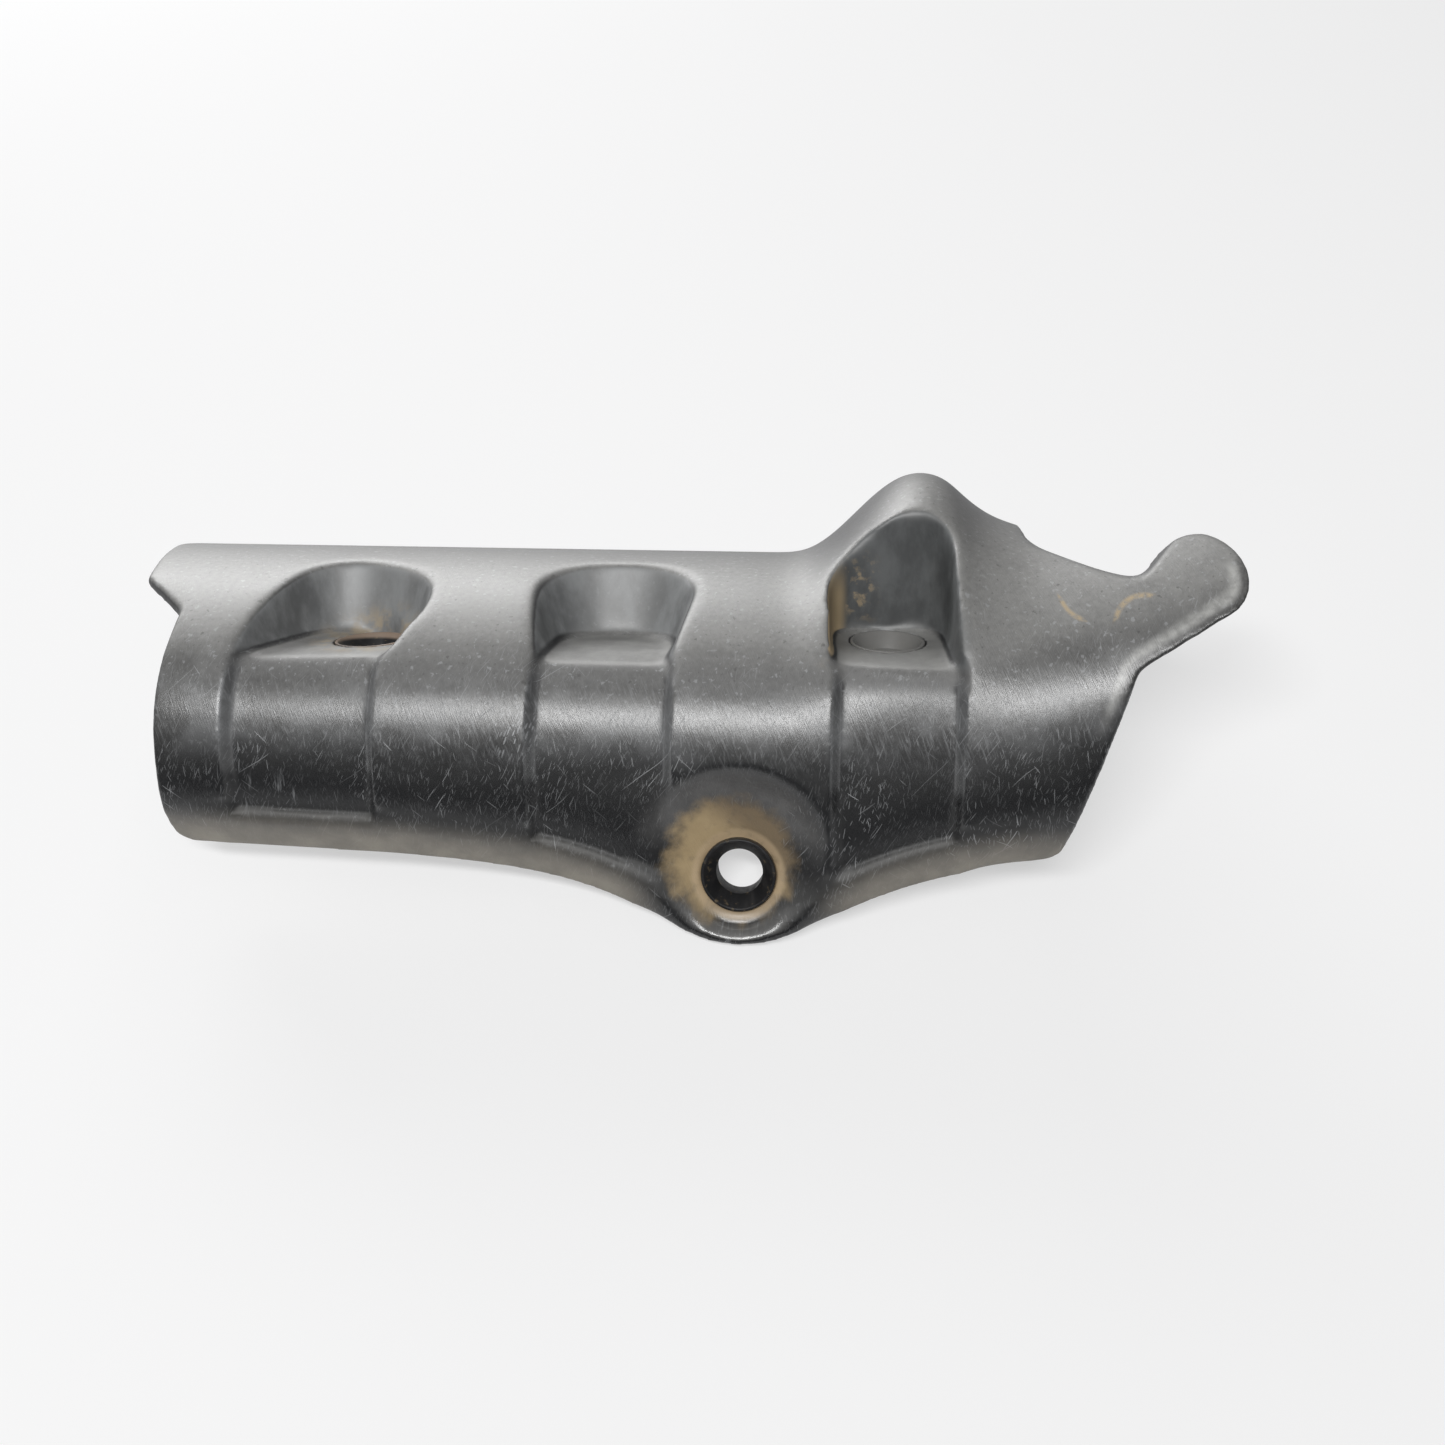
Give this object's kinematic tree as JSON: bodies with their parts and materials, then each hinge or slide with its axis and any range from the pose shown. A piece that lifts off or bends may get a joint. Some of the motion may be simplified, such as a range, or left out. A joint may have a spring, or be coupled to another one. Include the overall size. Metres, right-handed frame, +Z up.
{
  "type": "half-pipe arm guard",
  "caption": "Moulded half-pipe guard for a tubular arm, with grooved bolt pockets, a recessed bolt lug, a hump, a flat wing with an ear and flanged bushes in its bolt holes.",
  "frame": {"origin": "middle of the lug bush's bore", "axes": "+X along the channel towards the ear, +Y to the back, +Z up as the guard lies on a bench"},
  "size_m": [0.2454, 0.1115, 0.0557],
  "materials": {
    "shell": "semi-gloss black moulding, scuffed and dusty",
    "bush": "matt black"
  },
  "bodies": {
    "root": {"guard_shell": "shell", "lug_bush": "bush", "left_pocket_bush": "bush", "right_pocket_bush": "bush"}
  },
  "joints": []
}
